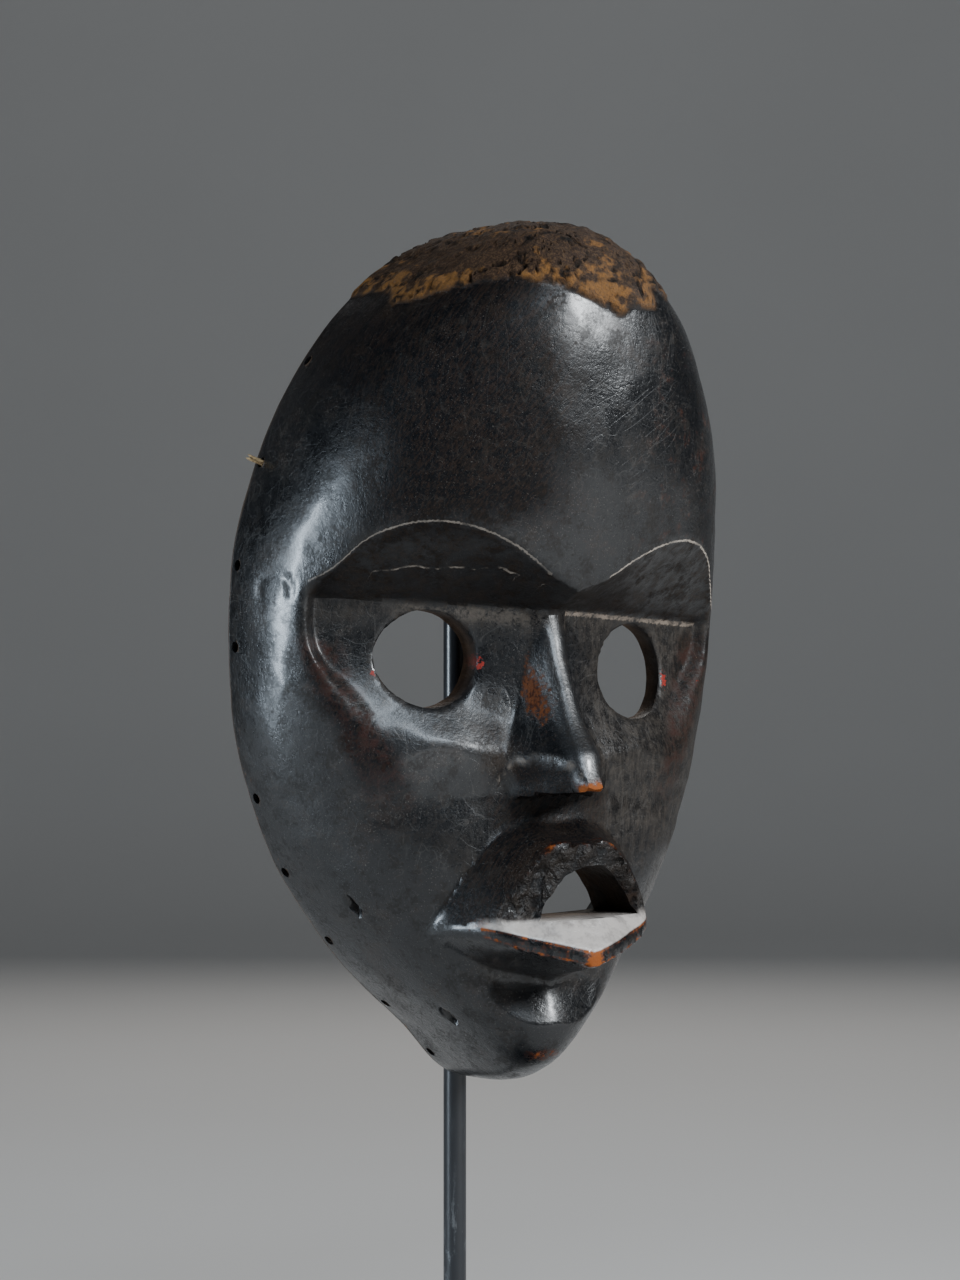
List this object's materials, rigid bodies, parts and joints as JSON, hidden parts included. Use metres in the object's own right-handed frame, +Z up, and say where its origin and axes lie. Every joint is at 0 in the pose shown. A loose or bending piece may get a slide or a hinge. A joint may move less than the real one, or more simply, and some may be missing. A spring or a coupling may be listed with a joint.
{
  "type": "dan mask on a display stand",
  "caption": "Carved wooden Dan face mask with hollow back, round eyes and pouting mouth, held upright by a bent steel rod on a flat base.",
  "frame": {"origin": "centre of the underside of the stand's base plate", "axes": "+Z up, the mask looks along -Y, +X to the right of someone facing it"},
  "size_m": [0.146, 0.1004, 0.349],
  "materials": {
    "mask_wood": "dark glossy patina, worn edges, ochre crust on the crown",
    "peg_fibre": "dry raw fibre",
    "stand_steel": "scuffed blue-black paint",
    "pad_felt": "dense felt"
  },
  "bodies": {
    "root": {"mask": "mask_wood", "rim_peg": "peg_fibre", "rod": "stand_steel", "cross_arm": "stand_steel", "pad_left": "pad_felt", "pad_right": "pad_felt", "base_plate": "stand_steel"}
  },
  "joints": []
}
